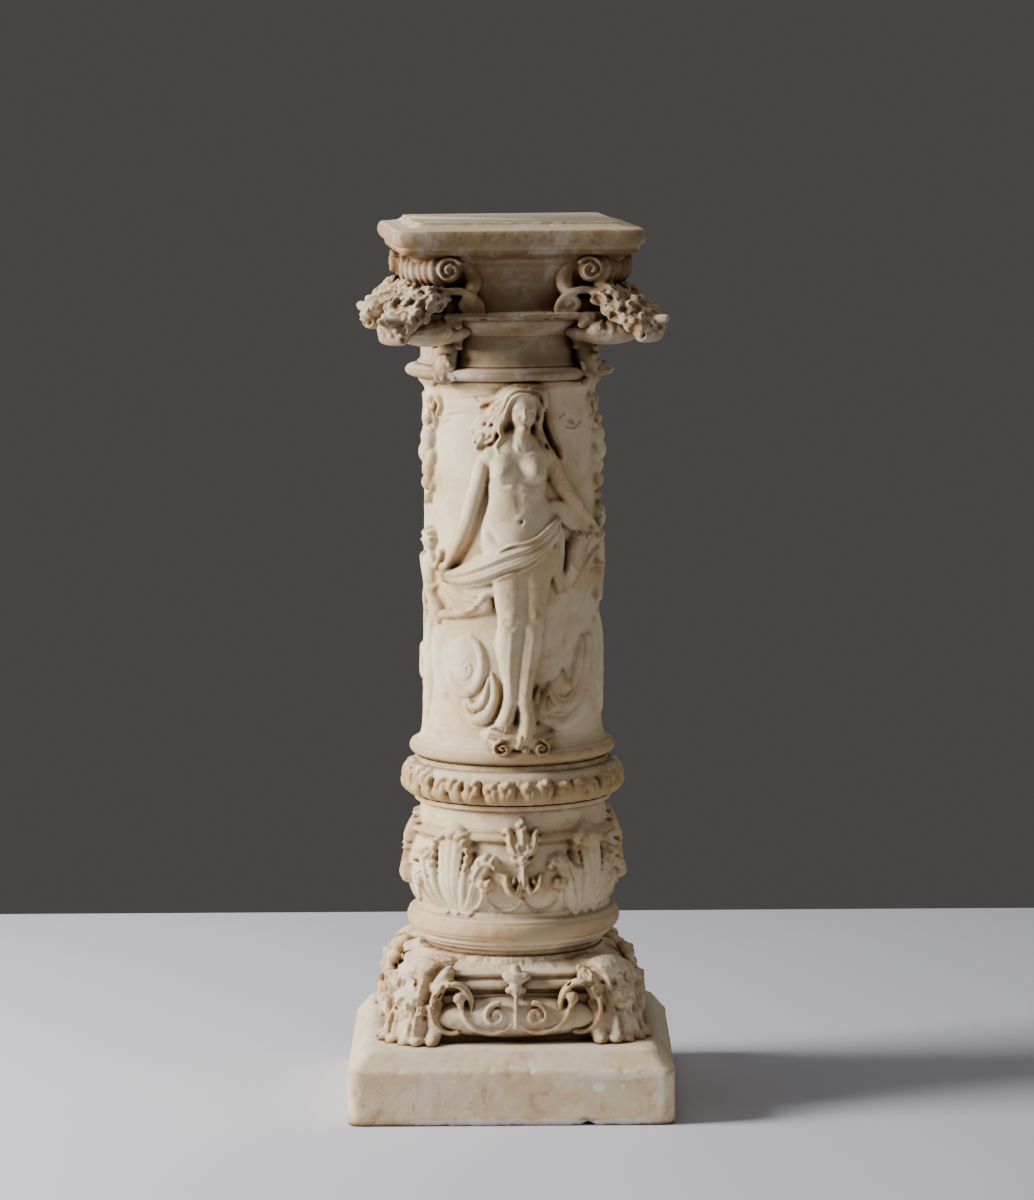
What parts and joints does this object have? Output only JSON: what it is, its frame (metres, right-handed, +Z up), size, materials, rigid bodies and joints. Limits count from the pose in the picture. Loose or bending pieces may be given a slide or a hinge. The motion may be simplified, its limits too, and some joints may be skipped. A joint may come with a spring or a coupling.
{
  "type": "plaster column",
  "caption": "Cast plaster display column: square plinth and scrolled foot, turned shaft with a draped figure in relief, bracketed capital and flat square top.",
  "frame": {"origin": "centre of the plinth's underside, on the floor", "axes": "+Z up the column, -Y to the front where the figure faces, +X to the viewer's right"},
  "size_m": [0.328, 0.328, 0.9],
  "materials": {
    "base_plaster": "matte, aged cream plaster with tan patina",
    "column_plaster": "matte, aged cream plaster with tan patina and brown grime in the recesses"
  },
  "bodies": {
    "root": {"base": "base_plaster", "column": "column_plaster"}
  },
  "joints": []
}
